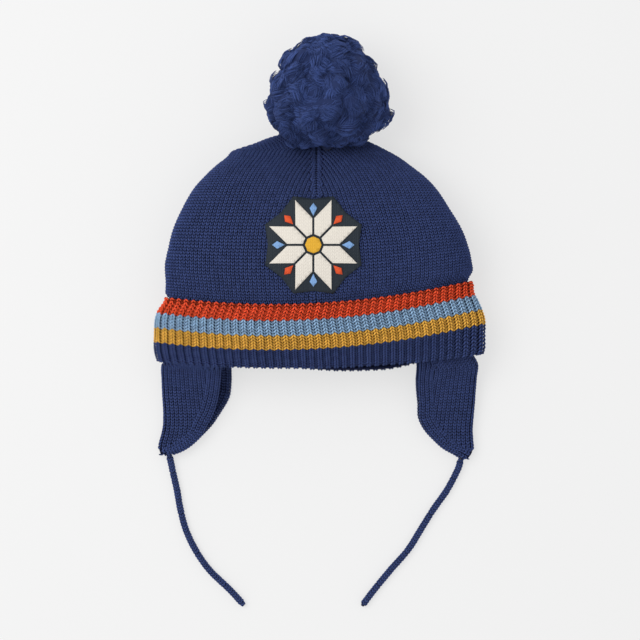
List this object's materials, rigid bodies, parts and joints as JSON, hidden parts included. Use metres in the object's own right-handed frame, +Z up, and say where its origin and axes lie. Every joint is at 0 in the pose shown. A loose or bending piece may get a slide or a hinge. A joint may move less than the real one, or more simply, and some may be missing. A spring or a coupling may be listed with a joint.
{
  "type": "bobble hat",
  "caption": "Child's knitted bobble hat with a turned-up striped rib cuff, folded ear flaps, cord ties and a yarn pompom, lying on its back.",
  "frame": {"origin": "on the ground under the middle of the hat without its ties, as it lies on its back", "axes": "+Y towards the pompom, +Z up from the ground out of the front of the hat, +X to the right of the front as seen from above"},
  "size_m": [0.2208, 0.3827, 0.0785],
  "materials": {
    "crown_knit": "fine stockinette knitting",
    "striped_rib": "ribbed knitting with orange, light blue and mustard stripes above navy",
    "flap_knit": "double stockinette knitting",
    "tie_cord": "knitted cord",
    "pompom_yarn": "soft tufted yarn",
    "print_black": "smooth transfer print",
    "print_cream": "smooth transfer print",
    "print_orange": "smooth transfer print",
    "print_blue": "smooth transfer print",
    "print_mustard": "smooth transfer print"
  },
  "bodies": {
    "root": {"crown": "crown_knit", "cuff": "striped_rib", "ear_flap_left": "flap_knit", "ear_flap_right": "flap_knit", "tie_left": "tie_cord", "tie_right": "tie_cord", "pompom": "pompom_yarn", "star_backing": "print_black", "star_petal_1": "print_cream", "star_petal_2": "print_cream", "star_petal_3": "print_cream", "star_petal_4": "print_cream", "star_petal_5": "print_cream", "star_petal_6": "print_cream", "star_petal_7": "print_cream", "star_petal_8": "print_cream", "star_gem_1": "print_orange", "star_gem_2": "print_blue", "star_gem_3": "print_orange", "star_gem_4": "print_blue", "star_gem_5": "print_orange", "star_gem_6": "print_blue", "star_gem_7": "print_orange", "star_gem_8": "print_blue", "star_centre": "print_mustard"}
  },
  "joints": []
}
